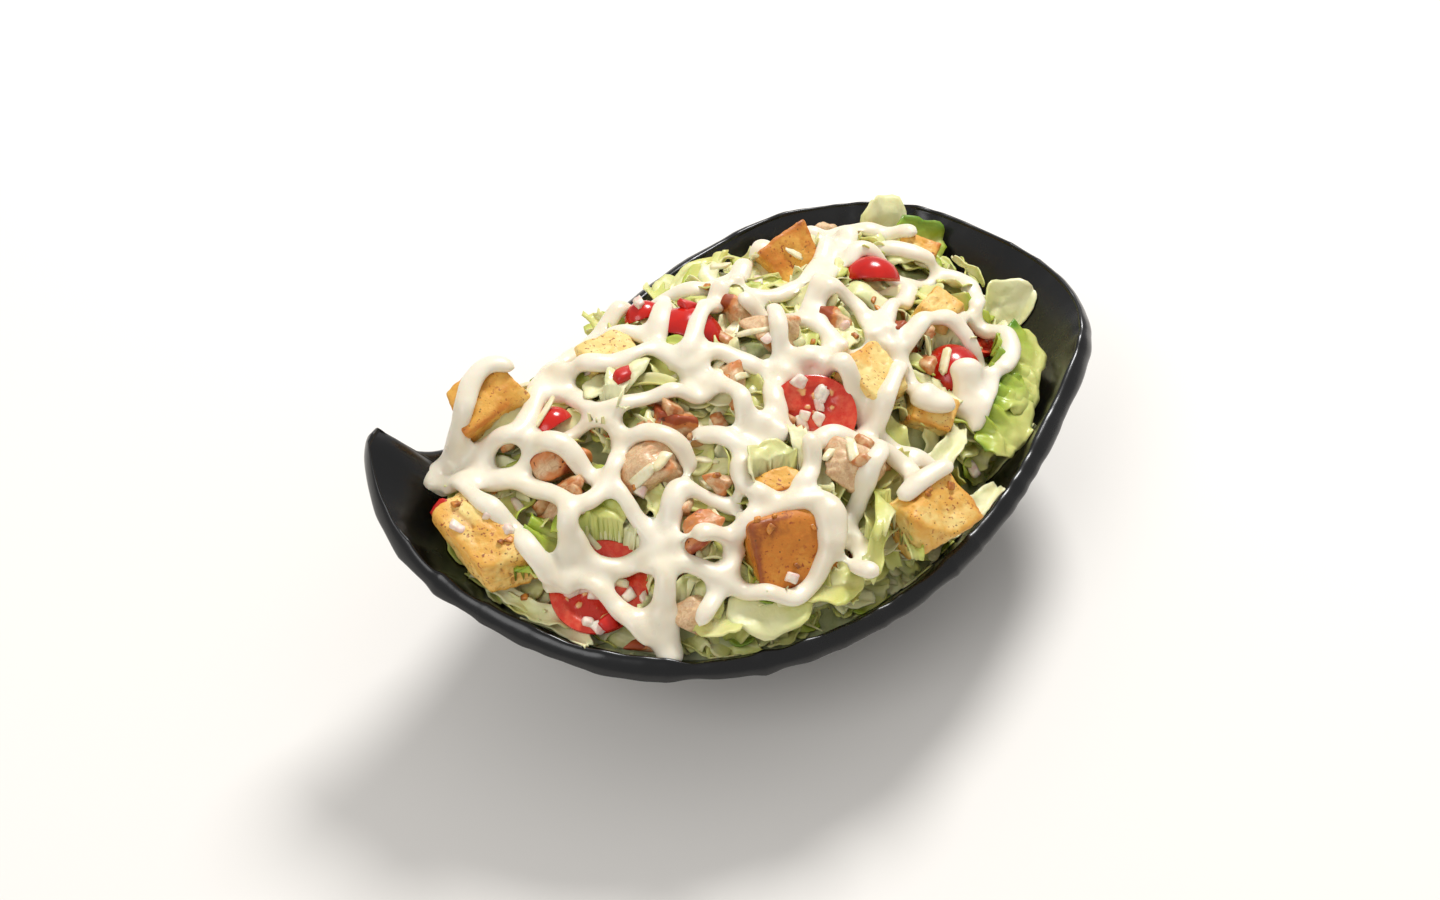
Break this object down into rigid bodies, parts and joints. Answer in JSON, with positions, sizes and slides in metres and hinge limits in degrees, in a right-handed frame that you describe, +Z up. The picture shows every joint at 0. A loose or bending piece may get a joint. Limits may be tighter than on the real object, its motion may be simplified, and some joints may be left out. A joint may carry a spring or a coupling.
{
  "type": "chicken caesar salad in a leaf-shaped bowl",
  "caption": "Chicken caesar salad heaped in a black leaf-shaped bowl: lettuce, grilled chicken, croutons and tomato under a net of creamy dressing.",
  "frame": {"origin": "on the surface it stands on, under the middle of the whole's outline", "axes": "+X along the bowl's length from the raised tip towards the blunt corner, +Z up, -Y towards the diner"},
  "size_m": [0.2299, 0.1825, 0.0901],
  "materials": {
    "bowl": "glossy black melamine with a lightly dented rim",
    "leaves": "moist crisp lettuce, pale ribs and green leaf edges",
    "toast": "toasted bread with a browned crust and specks of spice",
    "tomato": "moist tomato, glossy skin and wet cut faces",
    "chicken": "grilled chicken, pale flesh with seared orange-brown edges",
    "dressing": "thick creamy dressing with soft uneven gloss",
    "onion": "translucent chopped red onion",
    "cheese": "shredded hard cheese"
  },
  "bodies": {
    "root": {"bowl": "bowl", "salad_heap": "leaves", "crouton_01": "toast", "crouton_02": "toast", "crouton_03": "toast", "crouton_04": "toast", "crouton_05": "toast", "crouton_06": "toast", "crouton_07": "toast", "crouton_08": "toast", "crouton_09": "toast", "crouton_10": "toast", "crouton_11": "toast", "tomato_01": "tomato", "tomato_02": "tomato", "tomato_03": "tomato", "tomato_04": "tomato", "tomato_05": "tomato", "tomato_06": "tomato", "tomato_07": "tomato", "tomato_08": "tomato", "chicken_01": "chicken", "chicken_02": "chicken", "chicken_03": "chicken", "chicken_04": "chicken", "chicken_05": "chicken", "chicken_06": "chicken", "chicken_07": "chicken", "chicken_08": "chicken", "chicken_09": "chicken", "chicken_10": "chicken", "chicken_11": "chicken", "chicken_12": "chicken", "chicken_13": "chicken", "chicken_14": "chicken", "chicken_15": "chicken", "chicken_16": "chicken", "chicken_17": "chicken", "chicken_18": "chicken", "chicken_19": "chicken", "chicken_20": "chicken"}
  },
  "joints": []
}
